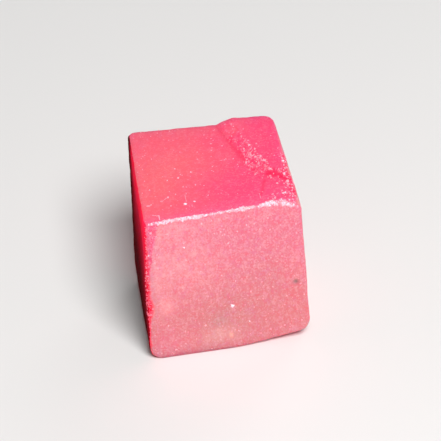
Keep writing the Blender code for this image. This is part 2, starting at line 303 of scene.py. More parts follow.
def surfacePoints(keys):
    # the eight corners blended by the lattice shares, then slid along rays to outside() = 0
    share = keys / np.array(block["counts"])
    share = share - block["crowding"] * np.sin(2.0 * np.pi * share) / (2.0 * np.pi)
    share = share + block["lean"] * np.sin(np.pi * share) / np.pi
    cage = np.zeros((len(keys), 3))
    for right, back, top in product((0, 1), repeat=3):
        weight = np.where((right, back, top), share, 1.0 - share).prod(axis=1)
        names = ("right" if right else "left", "back" if back else "front", "top" if top else "base")
        cage += weight[:, None] * sharpCorner(*names)
    centre = np.array((0.0, 0.0, 0.5 * block["height"]))
    ray = cage - centre
    near, far = (np.full(len(ray), end) for end in block["rays"])
    for _ in range(block["halvings"]):
        middle = 0.5 * (near + far)
        out = outside(centre + ray * middle[:, None]) > 0.0
        near, far = np.where(out, near, middle), np.where(out, middle, far)
    return centre + ray * near[:, None]


# Lines on the top, darker red along them as painted shade, in mm seen from above, then how wide, how
# strong and how deep each one is.
redLines = {
    "foot crease": (
        ((1.33, 5.98), (1.84, 4.54), (2.38, 2.42), (2.70, 1.40), (2.97, 0.60), (3.12, -0.11)),
        0.20, 0.45, 0.005,
    ),
    "foot crease, fading": (((3.12, -0.11), (3.40, -0.80), (3.80, -1.60)), 0.16, 0.25, 0.0),
    "crease before the corner": (
        ((4.34, -2.50), (4.33, -3.04), (4.17, -3.72), (3.92, -4.41), (3.66, -5.05)), 0.11, 0.60, 0.03,
    ),
    "crease over the hollow": (((4.62, -0.50), (4.78, -1.03), (4.82, -1.87)), 0.12, 0.40, 0.01),
    "broken hollow": (
        ((4.75, -2.50), (5.28, -2.78), (5.70, -3.02), (6.05, -3.30), (6.45, -3.60)), 0.27, 1.00, 0.14,
    ),
    "second hollow": (((5.74, -3.10), (6.10, -3.60), (6.60, -4.10)), 0.24, 0.80, 0.08),
    "right edge": (((6.55, -0.80), (6.50, -2.00), (6.50, -3.60), (6.70, -5.20)), 0.36, 0.75, 0.03),
}
rubbleLines = {
    "right edge": (
        ((6.45, -0.30), (6.60, -1.60), (6.45, -3.20), (6.50, -4.60), (6.35, -5.90)), 0.50, 1.0, 0.0,
    ),
    "before the hollow": (((4.10, -2.40), (5.30, -2.75), (6.30, -3.60)), 0.45, 1.0, 0.0),
    "over the rim": (((4.60, -5.75), (5.60, -5.60), (6.30, -5.50)), 0.26, 0.8, 0.0),
}

# Places on the front face: where, as x and z in mm, how wide and how high, how strong, and in which
# colour. The spots are under the sugar grain, and the marks are over everything.
spots = {
    "frost": ((-3.80, 10.90), (3.30, 3.30), 0.42, "palePink"),
    "topFrost": ((-4.90, 15.60), (2.20, 1.30), 0.45, "palePink"),
    "sideFrost": ((-6.00, 10.20), (1.00, 4.00), 0.30, "palePink"),
    "rimFrost": ((-0.70, 15.60), (0.90, 0.75), 0.34, "palePink"),
    "dull": ((-0.20, 4.20), (2.60, 2.60), 0.35, "greyPink"),
    "dullRight": ((4.00, 8.00), (1.50, 2.40), 0.16, "greyPink"),
    "lowLeft": ((-5.60, 1.70), (2.20, 2.00), 0.60, "frontPink"),
    "grey": ((-0.96, 3.51), (0.75, 0.75), 0.70, "greyPink"),
    "pale": ((-5.45, 6.30), (0.75, 0.90), 0.75, "palePink"),
    "palest": ((-0.85, 2.05), (1.60, 1.05), 0.60, "paleGrey"),
}
marks = {
    "pit": ((6.24, 7.13), (0.24, 0.21), 1.0, "pitGrey"),
    "fleck": ((0.16, 1.80), (0.13, 0.30), 1.0, "flesh"),
}

uneven = {  # height, cell size and seed of the noises that fray the marks
    "ragged": ((0.6, 0.45 * mm, 31), (0.4, 0.20 * mm, 32)),
    "wavy": ((1.0, 1.1 * mm, 34),),
    "cloudy": ((1.0, 3.4 * mm, 35),),
    "spots": 0.25,  # how far the ragged one frays the spots, as a share of their width
}


def nearLine(points, line, width):
    # 1 on a line seen from above, falling as exp(-(distance / width)^2)
    corners = np.array(line) * mm
    place = points[:, :2]
    distance = np.full(len(points), np.inf)
    for start, end in zip(corners[:-1], corners[1:]):
        run = end - start
        share = np.clip((place - start) @ run / (run @ run), 0.0, 1.0)
        distance = np.minimum(distance, np.linalg.norm(place - start - share[:, None] * run, axis=1))
    return np.exp(-((distance / width) ** 2))


def nearLines(points, lines, stray):
    # the strongest of several lines and the deepest, their edges made uneven by the stray in metres
    strayed = points + stray[:, None]
    near = np.array([nearLine(strayed, line, width * mm) for line, width, _, _ in lines.values()])
    strengths, depths = np.array([spec[2:] for spec in lines.values()]).T[:, :, None]
    return np.max(strengths * near, axis=0), np.max(depths * mm * near, axis=0)


faceTint = {
    "blend": 0.06 * mm,  # how gradually one face's finish turns into the next one's
    "edge": 0.5 * mm,  # how far crushed blocks reach from the edges
    "topReach": 0.45 * mm,  # how far the top's colour reaches down the right and the back
    "cloudWavy": 0.3,  # how much of the wavy noise the clouds have in them
    "cloud": (-0.3, 0.6),  # they grow between these values of their noise
    "low": (14.0 * mm, 3.0 * mm),  # the colour low down grows between these heights
    "foot": 0.30 * mm,  # how high the deep red at the foot reaches
}


def faceMasks(points, face, wavy):
    # exp(distance outside the face / blend), shared out so that all the faces add up to 1
    distances = np.stack(list(face.values()))
    nearest = np.sort(distances, axis=0)
    weight = np.exp((distances - nearest[-1]) / faceTint["blend"])
    weight /= weight.sum(axis=0)
    masks = dict(zip(face, weight))
    masks["edge"] = np.exp(-(nearest[-1] - nearest[-2]) / faceTint["edge"])
    belowTop = 1.0 - np.exp(np.minimum(face["top"], 0.0) / faceTint["topReach"])
    masks["right"], masks["back"] = masks["right"] * belowTop, masks["back"] * belowTop
    cloudy = mixedNoise(points, uneven["cloudy"]) + faceTint["cloudWavy"] * wavy
    masks["cloud"] = (masks["right"] + masks["back"]) * smoothStep(cloudy, *faceTint["cloud"])
    masks["low"] = smoothStep(points[:, 2], *faceTint["low"])
    masks["foot"] = np.exp(-points[:, 2] / faceTint["foot"])
    return masks


breaks = {
    "onTop": (-0.8 * mm, -0.3 * mm),  # marks of the top grow between these distances outside it
    "ledgeWavy": 0.10,  # how far the noises move the ledge's ends, as shares of its width
    "ledgeRagged": 0.06,
    "ledgeFoot": (0.0, 0.15),  # its crushed slope begins between these shares of its width,
    "ledgeCrest": (1.15, 0.80),  # and ends between these
    "ledgeBack": (0.5, 6.5 * mm, 3.0 * mm),  # share left at its back, and where it grows to full
    "scarStray": 0.20 * mm,  # how far the crushed lines stray from where they are drawn
    "scarRagged": 0.3,
    "scarEdge": (0.35, 0.75),  # they begin between these strengths
    "creaseStray": 0.10 * mm,
}


def breakMasks(points, onTop, ragged, wavy):
    # the ledge's slope, the crushed places on it and beside it, and the creases
    share = ledgeShare(points) + breaks["ledgeWavy"] * wavy + breaks["ledgeRagged"] * ragged
    slope = onTop * smoothStep(share, *breaks["ledgeFoot"]) * smoothStep(share, *breaks["ledgeCrest"])
    weak, *reach = breaks["ledgeBack"]
    shallow = weak + (1.0 - weak) * smoothStep(points[:, 1], *reach)
    scars = nearLines(points, rubbleLines, breaks["scarStray"] * wavy)[0] + breaks["scarRagged"] * ragged
    crease, depth = nearLines(points, redLines, breaks["creaseStray"] * ragged)
    return {
        "ledge": slope,
        "rubble": np.maximum(slope * shallow, smoothStep(scars, *breaks["scarEdge"]) * onTop),
        "crease": crease * onTop,
        "creaseDepth": depth * onTop,
    }


rim = {  # bruised white along the front top edge
    "width": 0.13 * mm,  # its width, times these at these x in mm
    "at": (-6.6, -6.0, -5.0, -4.0, -3.0, -1.5, -0.3, 0.8, 1.6, 2.8, 3.6, 4.3, 5.2, 5.7, 6.6),
    "times": (1.0, 1.1, 1.1, 1.4, 1.0, 1.05, 1.4, 1.25, 1.2, 0.8, 1.45, 1.7, 1.4, 0.8, 0.7),
    "fray": 0.17 * mm,
    "wavy": 0.5,  # how much of the wavy noise frays it
    "edge": (1.7, 0.3),  # it begins between these shares of its width
    "lowered": 0.10 * mm,  # how far down the first chip it runs
    "ends": (5.3 * mm, 5.9 * mm),  # it is weaker by the next share to the right of here
    "paler": 0.45,
    "under": 0.7 * mm,  # how far behind it the top is pinker
}


def rimMasks(points, face, onTop, ragged, wavy):
    # it runs over the first chip's middle and the second one's lower edge
    lowered = chipDistance(points, "front edge, right of middle") - rim["lowered"]
    front = np.maximum(face["front"], lowered)
    top = np.maximum(face["top"], chipDistance(points, "front right top corner"))
    width = rim["width"] * np.interp(points[:, 0] / mm, rim["at"], rim["times"])
    fromRim = (np.maximum(-top, -front) + rim["fray"] * (ragged + rim["wavy"] * wavy)) / width
    end = 1.0 - rim["paler"] * smoothStep(points[:, 0], *rim["ends"])
    return {
        "rim": smoothStep(fromRim, *rim["edge"]) * end,
        "underRim": np.exp(-np.maximum(-front, 0.0) / rim["under"]) * onTop,
    }


leftEdge = {
    "bandAt": (0.0, 3.0, 4.6, 5.7, 6.6, 7.6, 9.0, 11.0, 13.5, 16.4),  # heights and widths in mm of
    "bandWide": (0.36, 0.22, 0.26, 0.50, 0.54, 0.36, 0.32, 0.27, 0.16, 0.14),  # the hot red band, a painted glow
    "bandFray": 0.12 * mm,
    "bandEdge": (1.4, 0.5),  # it begins between these shares of its width
    "bevelAt": (7.0, 9.0, 10.6, 13.1, 16.4),  # the redder bevel beside it, widest at the corner
    "bevelWide": (0.01, 0.30, 0.42, 0.78, 1.45),
    "bevelFray": 0.10 * mm,
    "bevelEdge": (1.0, 0.75),
    "topGlow": 0.35 * mm,  # how far the painted red glow reaches in from the top's left edge
}


def leftEdgeMasks(points, face, front, onTop, ragged):
    # the distance from the edge as a share of the band's and the bevel's width at that height
    height = points[:, 2] / mm
    fromEdge = np.maximum(-face["left"], -face["front"]) + leftEdge["bandFray"] * ragged
    fromLeft = -face["left"] + leftEdge["bevelFray"] * ragged
    bandWidth = np.interp(height, leftEdge["bandAt"], leftEdge["bandWide"]) * mm
    bevelWidth = np.interp(height, leftEdge["bevelAt"], leftEdge["bevelWide"]) * mm
    return {
        "band": smoothStep(fromEdge / bandWidth, *leftEdge["bandEdge"]),
        "bevel": smoothStep(fromLeft / bevelWidth, *leftEdge["bevelEdge"]) * front,
        "topLeft": np.exp(np.minimum(face["left"], 0.0) / leftEdge["topGlow"]) * onTop,
    }


innerGlow = {
    "top": (0.85, 3.3 * mm),  # painted glow let into the left face by the top, and how far it reaches down
    "front": (0.48, 2.0 * mm),
    "back": (0.5 * mm, 4.5 * mm),  # painted shade: the left face is dark this near the back edge
    "foot": (-1.5 * mm, 11.0 * mm),  # and towards the foot
}


def glowMask(height, face):
    # each painted glow times exp(distance outside its face / reach), faded to painted shade at the back
    # and the foot
    glow = np.zeros(len(height))
    for name in ("top", "front"):
        strength, reach = innerGlow[name]
        glow += strength * np.exp(np.minimum(face[name], 0.0) / reach)
    glow *= smoothStep(-face["back"], *innerGlow["back"])
    return glow * smoothStep(height, *innerGlow["foot"])


topTint = {
    "along": (0.8, -0.6),  # the top turns from coral to pink this way,
    "pinker": (-3.5 * mm, 5.0 * mm),  # between these places,
    "stray": ((1.2 * mm, 2.6 * mm, 33),),  # moved by this noise: height, cell size and seed
    "pinkBack": (0.32, 0.0 * mm, 5.5 * mm),  # pinker by this share from here to there along Y
    "pinkSpot": (0.30, (0.7, 4.2), 1.7),  # and round this place in mm, this wide
    "ledgeFrost": ((2.75, 4.50), 0.75),  # a frosted place at the back of the ledge
}


def nearPlace(points, place, width):
    # exp(-(distance from a place seen from above / width)^2), both in mm
    return np.exp(-((points[:, :2] / mm - place) ** 2).sum(axis=1) / width**2)


def topMasks(points, onTop):
    # where the top is pinker than coral, and where the ledge is frosted
    alongX, alongY = topTint["along"]
    across = alongX * points[:, 0] + alongY * points[:, 1] + mixedNoise(points, topTint["stray"])
    pinker = smoothStep(across, *topTint["pinker"])
    strength, *reach = topTint["pinkBack"]
    pinker += strength * smoothStep(points[:, 1], *reach)
    strength, place, width = topTint["pinkSpot"]
    pinker += strength * nearPlace(points, place, width)
    return {
        "pinker": np.minimum(pinker, 1.0),
        "ledgeFrost": nearPlace(points, *topTint["ledgeFrost"]) * onTop,
    }


def spotMasks(points, front, ragged):
    # exp(-(distance from the spot's middle in half widths)^2), frayed
    masks = {}
    for name, (place, width, _, _) in {**spots, **marks}.items():
        away = np.linalg.norm((points[:, ::2] / mm - np.array(place)) / np.array(width), axis=1)
        masks[name] = np.exp(-((away + uneven["spots"] * ragged) ** 2)) * front
    return masks


def surfaceMasks(points):
    # where each face, edge, break and tint is, each 0 to 1
    face = faceDistances(points)
    onTop = smoothStep(face["top"], *breaks["onTop"])
    ragged, wavy = (mixedNoise(points, uneven[name]) for name in ("ragged", "wavy"))
    masks = faceMasks(points, face, wavy)
    masks.update(breakMasks(points, onTop, ragged, wavy))
    masks.update(rimMasks(points, face, onTop, ragged, wavy))
    masks.update(leftEdgeMasks(points, face, masks["front"], onTop, ragged))
    masks.update(topMasks(points, onTop))
    masks.update(spotMasks(points, masks["front"], ragged))
    masks["glow"] = glowMask(points[:, 2], face)
    return masks


def relief(points, masks):
    # sum of the noises, each times its height and its mask, faded out at the base
    where = {
        "blocks": masks["ledge"],
        "splinters": masks["rubble"],
        "edgeBlocks": masks["edge"],
        "edgeCrumbs": masks["rim"],
        "bandCrumbs": np.maximum(masks["band"], surfaceRelief["onBevel"] * masks["bevel"]),
    }
    stand = mixedNoise(points, surfaceRelief["smooth"].values())
    for name, (height, cell, seed, sunk) in surfaceRelief["crushed"].items():
        blocks = height * crushedBlocks(points, cell, seed)
        stand += where[name] * (blocks - sunk * height)
        if name in surfaceRelief["tips"]:
            tips, *reach = surfaceRelief["tips"][name]
            masks[tips] = smoothStep(blocks / height, *reach)
    stand -= masks["creaseDepth"] * (1.0 - masks["rim"])
    stand -= surfaceRelief["pitDepth"] * masks["pit"]
    return stand * smoothStep(points[:, 2], 0.0, surfaceRelief["baseFade"])


def meshObject(name, points, faces, attributes):
    # a mesh from whole arrays, with one number per point for each attribute
    mesh = bpy.data.meshes.new(name)
    sides = faces.shape[1]
    mesh.vertices.add(len(points))
    mesh.vertices.foreach_set("co", np.ascontiguousarray(points, np.float32).ravel())
    mesh.loops.add(faces.size)
    mesh.loops.foreach_set("vertex_index", np.ascontiguousarray(faces, np.int32).ravel())
    mesh.polygons.add(len(faces))
    mesh.polygons.foreach_set("loop_start", np.arange(0, faces.size, sides, dtype=np.int32))
    mesh.update(calc_edges=True)
    mesh.validate()
    for key, values in attributes.items():
        layer = mesh.attributes.new(key, "FLOAT", "POINT")
        layer.data.foreach_set("value", np.ascontiguousarray(values, np.float32))
    piece = bpy.data.objects.new(name, mesh)
    bpy.context.scene.collection.objects.link(piece)
    return piece


keys, quads = boxGrid(block["counts"])
smoothPoints = surfacePoints(keys)
normals = outward(smoothPoints)
masks = surfaceMasks(smoothPoints)
skinPoints = smoothPoints + normals * relief(smoothPoints, masks)[:, None]
readByMaterials = (
    "front", "right", "back", "rubble", "tips", "crease", "rim", "rimTips", "underRim",
    "band", "bandTips", "bevel", "foot", "low", "cloud", "glow", "topLeft", "pinker",
    "ledgeFrost", *spots, *marks,
)
skin = meshObject("crystal_skin", skinPoints, quads, {name: masks[name] for name in readByMaterials})
skin.data.shade_smooth()
print("ruby crystal: skin", len(quads) * 2, "triangles")

# How many crumbs each piece has, from what size to what size, how pale, 0 to 1, and the seed.
crumbs = {
    "rim_crumbs": (420, (0.08 * mm, 0.22 * mm), (0.25, 1.0), 41),
    "ledge_crumbs": (260, (0.08 * mm, 0.22 * mm), (0.0, 0.30), 43),
    "band_crumbs": (220, (0.06 * mm, 0.17 * mm), (0.0, 0.30), 45),
    "ledge_grains": (44, (0.13 * mm, 0.25 * mm), (0.26, 0.52), 51),
    "corner_grains": (46, (0.13 * mm, 0.22 * mm), (0.16, 0.52), 53),
    "top_grains": (40, (0.08 * mm, 0.13 * mm), (0.40, 0.55), 55),
    "front_grains": (34, (0.12 * mm, 0.20 * mm), (0.32, 0.58), 57),
    "dust": (420, (0.04 * mm, 0.11 * mm), (0.2, 0.5), 47),
}

crumbShape = {
    "sunk": 0.62,  # how deep a crumb sits, as a share of its size
    "sides": (0.55, 1.0),  # its shortest and longest side, as shares of its size
    "pulled": 0.16,  # how far its corners are pulled about, as a share of its size
    "mostlySmall": 2.2,  # the higher this power, the rarer the large ones
    "scratchStep": 0.7,  # how far apart the grains of a scratch are, in widths
    "brightSeed": 49,
}

crumbPlaces = {
    "rubbleBack": (0.1, 5.5 * mm, 1.0 * mm),  # share at the back, and where along Y it grows by 1
    "clearCrease": 0.8,  # share of the crumbs kept out of the creases
    "onBevel": 0.25,  # how many of the band's crumbs lie on the bevel
    "bandFoot": (2.5 * mm, 5.0 * mm),  # they begin between these heights
    "ledgeBack": (0.35, 2.5 * mm, 0.0),
    "cornerBack": (0.2, 0.0, -4.0 * mm),
    "cornerShare": 0.6,  # how many of the corner's grains lie on the crushed lines
    "insideCorner": ((4.9, -5.6), (5.6, -4.8), (6.0, -3.8)),  # the others' line from above, in mm
    "insideWidth": 0.5 * mm,
    "dustRight": 0.5,  # how dusty the right face is
    "dustElsewhere": 1e-6,
}

# The brightest grains, pale partly as crushed ruby and partly as painted glints: where on that face, in
# mm, how wide and how pale, 0 to 1.
glints = {
    "top": (
        ((-2.9, -4.6), 0.26, 1.00), ((-2.1, -4.4), 0.21, 0.90), ((-3.0, -0.7), 0.15, 0.65),
        ((-4.0, -0.8), 0.13, 0.60), ((-1.8, -0.1), 0.13, 0.60), ((-5.9, 1.3), 0.13, 0.45),
        ((-4.3, -3.2), 0.13, 0.65), ((-0.8, -3.8), 0.13, 0.60), ((0.6, 3.5), 0.12, 0.45),
        ((0.7, 4.2), 0.11, 0.50), ((0.6, 2.8), 0.11, 0.40), ((0.4, 2.4), 0.12, 0.40),
        ((3.8, 1.7), 0.20, 0.62), ((3.3, 1.6), 0.21, 0.55), ((4.5, -0.2), 0.19, 0.52),
        ((5.0, -2.2), 0.19, 0.54), ((6.3, -1.2), 0.32, 0.85), ((6.1, -3.0), 0.20, 0.62),
        ((5.8, -5.2), 0.21, 0.70), ((5.6, -5.3), 0.19, 0.56), ((6.0, -6.0), 0.19, 0.60),
    ),
    "front": (
        ((0.4, 5.3), 0.37, 1.00), ((-3.6, 13.1), 0.26, 1.00), ((1.8, 3.1), 0.20, 0.85),
        ((0.3, 12.8), 0.18, 0.58), ((-1.8, 15.6), 0.20, 0.50), ((2.0, 14.7), 0.18, 0.48),
        ((4.0, 15.1), 0.19, 0.50), ((5.3, 5.6), 0.15, 0.45), ((1.8, 1.5), 0.14, 0.50),
        ((-5.4, 4.0), 0.14, 0.60), ((-6.7, 12.8), 0.20, 0.50), ((-6.4, 15.3), 0.19, 0.55),
    ),
}

# Scratches on the top are rows of small grains: from, to, how wide and how pale.
scratches = (
    ((-2.77, -3.19), (-2.88, -4.45), 0.05, 0.50),
    ((-4.34, -3.24), (-4.98, -3.66), 0.06, 0.45),
    ((1.02, 0.83), (1.50, 0.91), 0.08, 0.40),
    ((-6.27, -3.99), (-5.87, -3.90), 0.09, 0.55),
    ((-5.91, -5.40), (-5.38, -5.62), 0.08, 0.55),
    ((-5.40, -5.64), (-5.45, -6.10), 0.08, 0.60),
    ((3.56, -4.75), (3.65, -5.50), 0.05, 0.35),
)


def crumbMesh(name, places, directions, sizes, shades, seed):
    # each crumb is a cube with its corners pulled about at random, turned and scaled
    rng = np.random.default_rng(seed)
    count = len(places)
    pulled = crumbShape["pulled"]
    cube = np.array(list(product((-0.5, 0.5), repeat=3)))
    quad = np.array(((0, 1, 3, 2), (4, 6, 7, 5), (0, 4, 5, 1), (2, 3, 7, 6), (0, 2, 6, 4), (1, 5, 7, 3)))
    corners = cube * rng.uniform(*crumbShape["sides"], (count, 1, 3))
    corners = corners + rng.uniform(-pulled, pulled, (count, 8, 3))
    turn = np.linalg.qr(rng.normal(size=(count, 3, 3)))[0]
    turn *= np.sign(np.linalg.det(turn))[:, None, None]
    corners = np.einsum("nij,nkj->nki", turn, corners) * sizes[:, None, None]
    centre = places + directions * (sizes * (0.5 - crumbShape["sunk"]))[:, None]
    points = (centre[:, None] + corners).reshape(-1, 3)
    faces = (quad[None] + 8 * np.arange(count)[:, None, None]).reshape(-1, 4)
    return meshObject(name, points, faces, {"shade": np.repeat(shades, 8)})


def areaShares(points, quads):
    # a quarter of each quad's area, half the length of its crossed diagonals, added at its corners
    a, b, c, d = points[quads].transpose(1, 0, 2)
    area = 0.5 * np.linalg.norm(np.cross(c - a, d - b), axis=1)
    return np.bincount(quads.ravel(), np.repeat(0.25 * area, 4), len(points))


skinShares = areaShares(smoothPoints, quads)


def scatteredCrumbs(name, chance):
    # points of the skin picked by their chance times the area, small crumbs the commonest
    count, (low, high), shade, seed = crumbs[name]
    rng = np.random.default_rng(seed)
    chance = chance * skinShares
    picked = rng.choice(len(chance), count, replace=False, p=chance / chance.sum())
    sizes = low + (high - low) * rng.random(count) ** crumbShape["mostlySmall"]
    shades = rng.uniform(*shade, count)
    return crumbMesh(name, skinPoints[picked], normals[picked], sizes, shades, seed + 1)


def nearestOnFace(masks, face, wanted, axes):
    # for each wanted place in mm, the skin point of that face that lies nearest to it
    candidates = np.flatnonzero(masks[face] > 0.5)
    away = skinPoints[candidates][:, None, axes] - np.array(wanted)[None] * mm
    return candidates[(away**2).sum(axis=2).argmin(axis=0)]


def scratchGrains(start, end, width, shade):
    # grains in a row from start to end
    length = np.hypot(end[0] - start[0], end[1] - start[1])
    steps = int(length / (crumbShape["scratchStep"] * width)) + 2
    share = np.linspace(0.0, 1.0, steps)[:, None]
    places = (1.0 - share) * np.array(start) + share * np.array(end)
    return [(tuple(place), width, shade) for place in places]


def moreInFront(points, least, back, front):
    # the least share behind the first place along Y, growing by 1 up to the second
    return least + smoothStep(points[:, 1], back, front)


def crumbChances(points, masks):
    # how likely each piece's crumbs are at a point, for the same area
    rubble = masks["rubble"] ** 2 * moreInFront(points, *crumbPlaces["rubbleBack"])
    band = masks["band"] ** 2 + crumbPlaces["onBevel"] * masks["bevel"]
    beside = np.maximum(masks["rubble"] - masks["ledge"], 0.0)
    beside *= moreInFront(points, *crumbPlaces["cornerBack"])
    inside = nearLine(points, crumbPlaces["insideCorner"], crumbPlaces["insideWidth"]) * masks["top"]
    dusty = masks["top"] + masks["front"] + crumbPlaces["dustRight"] * masks["right"]
    return {
        "rim_crumbs": masks["rim"] ** 2,
        "ledge_crumbs": rubble * (1.0 - crumbPlaces["clearCrease"] * masks["crease"]),
        "band_crumbs": band * smoothStep(points[:, 2], *crumbPlaces["bandFoot"]),
        "ledge_grains": masks["ledge"] ** 2 * moreInFront(points, *crumbPlaces["ledgeBack"]),
        "corner_grains": crumbPlaces["cornerShare"] * beside + inside,
        "top_grains": masks["top"] * (1.0 - masks["rubble"]),
        "front_grains": masks["front"],
        "dust": dusty + crumbPlaces["dustElsewhere"],
    }


rows = [grain for scratch in scratches for grain in scratchGrains(*scratch)]
topPlaces, topSizes, topShades = zip(*glints["top"], *rows)
frontPlaces, frontSizes, frontShades = zip(*glints["front"])
bright = np.concatenate((
    nearestOnFace(masks, "top", topPlaces, (0, 1)),
    nearestOnFace(masks, "front", frontPlaces, (0, 2)),
))
crumbPieces = [crumbMesh(
    "bright_grains", skinPoints[bright], normals[bright], np.array(topSizes + frontSizes) * mm,
    np.array(topShades + frontShades), crumbShape["brightSeed"],
)]
for name, chance in crumbChances(skinPoints, masks).items():
    crumbPieces.append(scatteredCrumbs(name, chance))
print("ruby crystal: crumbs")

finish = {
    "topCoral": (0.97, 0.145, 0.186, 1.0),
    "topPink": (0.97, 0.070, 0.188, 1.0),
    "nearRimPink": (0.97, 0.125, 0.270, 1.0),
    "frontPink": (0.80, 0.238, 0.311, 1.0),
    "frontLow": (0.735, 0.239, 0.259, 1.0),
    # the left face's colour is its deep clear red darkened as painted shade
    "leftPaintedShade": (0.04, 0.003, 0.004, 1.0),
    "leftPale": (0.40, 0.050, 0.070, 1.0),
    # painted glow: paintedGlowRed in the base colour, and the emitted light of the next four
    "paintedGlowRed": (0.95, 0.013, 0.045, 1.0),
    "innerLight": (0.60, 0.010, 0.040, 1.0),
    "faintLight": (0.012, 0.001, 0.001, 1.0),
    "edgeLight": (1.00, 0.010, 0.060, 1.0),
    "crumbLight": (0.20, 0.010, 0.030, 1.0),
    "noLight": (0.0, 0.0, 0.0, 1.0),
    "deepRed": (0.92, 0.018, 0.088, 1.0),
    "breakPink": (0.98, 0.055, 0.160, 1.0),
    "bevelPink": (0.97, 0.110, 0.235, 1.0),
    "tipPink": (1.00, 0.10, 0.22, 1.0),
    "splinterPink": (1.00, 0.28, 0.40, 1.0),
    "pitGrey": (0.25, 0.16, 0.15, 1.0),
    "greyPink": (0.58, 0.28, 0.27, 1.0),
    "palePink": (0.95, 0.42, 0.44, 1.0),
    "paleGrey": (0.80, 0.42, 0.41, 1.0),
    "flesh": (1.00, 0.52, 0.40, 1.0),
    "bruised": (1.00, 0.66, 0.74, 1.0),
    "bruisedPink": (1.00, 0.33, 0.42, 1.0),
    "bruisedWhite": (1.00, 0.86, 0.80, 1.0),
    "grainWhite": (1.00, 0.84, 0.92, 1.0),
    "sugarPale": (1.00, 0.60, 0.66, 1.0),
    "sugarDeep": (0.88, 0.050, 0.110, 1.0),
    "sugarViolet": (0.78, 0.22, 0.58, 1.0),
    "grain": 0.13 * mm,  # size of the sugar grain
    "mottle": 0.55 * mm,
    "streak": 0.7,  # below 1 draws the grain out upwards
    "stone": {"IOR": 1.76, "Emission Strength": 1.0, "Subsurface Scale": 1.0 * mm},  # in every material
}


def newMaterial(name):
    material = bpy.data.materials.new(name)
    material.use_nodes = True
    tree = material.node_tree
    return material, tree, tree.nodes["Principled BSDF"]


def fill(tree, socket, value):
    # a node's output is linked to the socket, and anything else becomes its value
    if isinstance(value, bpy.types.NodeSocket):
        tree.links.new(value, socket)
    else:
        socket.default_value = value


def attribute(tree, name):
    node = tree.nodes.new("ShaderNodeAttribute")
    node.attribute_name = name
    return node.outputs["Fac"]


def calculate(tree, operation, *values):
    node = tree.nodes.new("ShaderNodeMath")
    node.operation = operation
    for socket, value in zip(node.inputs, values):
        fill(tree, socket, value)
    return node.outputs[0]


def times(tree, first, second):
    return calculate(tree, "MULTIPLY", first, second)


def ramp(tree, value, low, high):
    # 0 at low and 1 at high, and no further
    node = tree.nodes.new("ShaderNodeMapRange")
    for name, given in (("Value", value), ("From Min", low), ("From Max", high)):
        fill(tree, node.inputs[name], given)
    return node.outputs[0]


def layered(tree, colour, *layers):
    # each layer mixed over those before it: an attribute or a mask, how strongly, and its colour
    colour = finish[colour] if isinstance(colour, str) else colour
    for mask, strength, tone in layers:
        mask = attribute(tree, mask) if isinstance(mask, str) else mask
        tone = finish[tone] if isinstance(tone, str) else tone
        mix = tree.nodes.new("ShaderNodeMix")
        mix.data_type = "RGBA"
        for number, value in ((0, times(tree, mask, strength)), (6, colour), (7, tone)):
            fill(tree, mix.inputs[number], value)
        colour = mix.outputs[2]
    return colour


def noise(tree, vector, scale, detail, roughness):
    node = tree.nodes.new("ShaderNodeTexNoise")
    values = {"Vector": vector, "Scale": scale, "Detail": detail, "Roughness": roughness}
    for name, value in values.items():
        fill(tree, node.inputs[name], value)
    return node.outputs["Fac"]


def newGroup(name, inputs, outputs):
    group = bpy.data.node_groups.new(name, "ShaderNodeTree")
    for direction, sockets in (("INPUT", inputs), ("OUTPUT", outputs)):
        for socket, kind in sockets.items():
            group.interface.new_socket(socket, in_out=direction, socket_type="NodeSocket" + kind)
    return group, group.nodes.new("NodeGroupInput").outputs, group.nodes.new("NodeGroupOutput").inputs


def placeGroup(tree, group, values):
    node = tree.nodes.new("ShaderNodeGroup")
    node.node_tree = group
    for name, value in values.items():
        fill(tree, node.inputs[name], value)
    return node.outputs


sugarMix = {
    "fine": (2.0, 0.7),  # detail and roughness of each noise
    "coarse": (3.0, 0.6),
    "streaks": (2.0, 0.6),
    "violet": (4.0, 0.9),
    "weights": (0.31, 0.31, 0.18),  # of the fine, the coarse and the streaks in the tone,
    "cellWeight": 0.20,  # and of the grains
    "middle": 0.5,  # the tone that is neither pale nor deep
    "drawnOut": (0.7, 0.7, 0.1),
    "violetAway": (0.1, 0.2, 0.3),  # where the violet's noise is read, so that it is another one
    "violetShown": (0.50, 0.72),
}


def movedPlace(tree, operation, place, values):
    node = tree.nodes.new("ShaderNodeVectorMath")
    node.operation = operation
    fill(tree, node.inputs[0], place)
    node.inputs[1].default_value = values
    return node.outputs[0]


def grainCells(tree, place, scale):
    # a Voronoi pattern's outputs, and one random number for each of its cells
    cells = tree.nodes.new("ShaderNodeTexVoronoi")
    fill(tree, cells.inputs["Vector"], place)
    fill(tree, cells.inputs["Scale"], scale)
    draw = tree.nodes.new("ShaderNodeSeparateColor")
    fill(tree, draw.inputs[0], cells.outputs["Color"])
    return cells.outputs, draw.outputs["Red"]


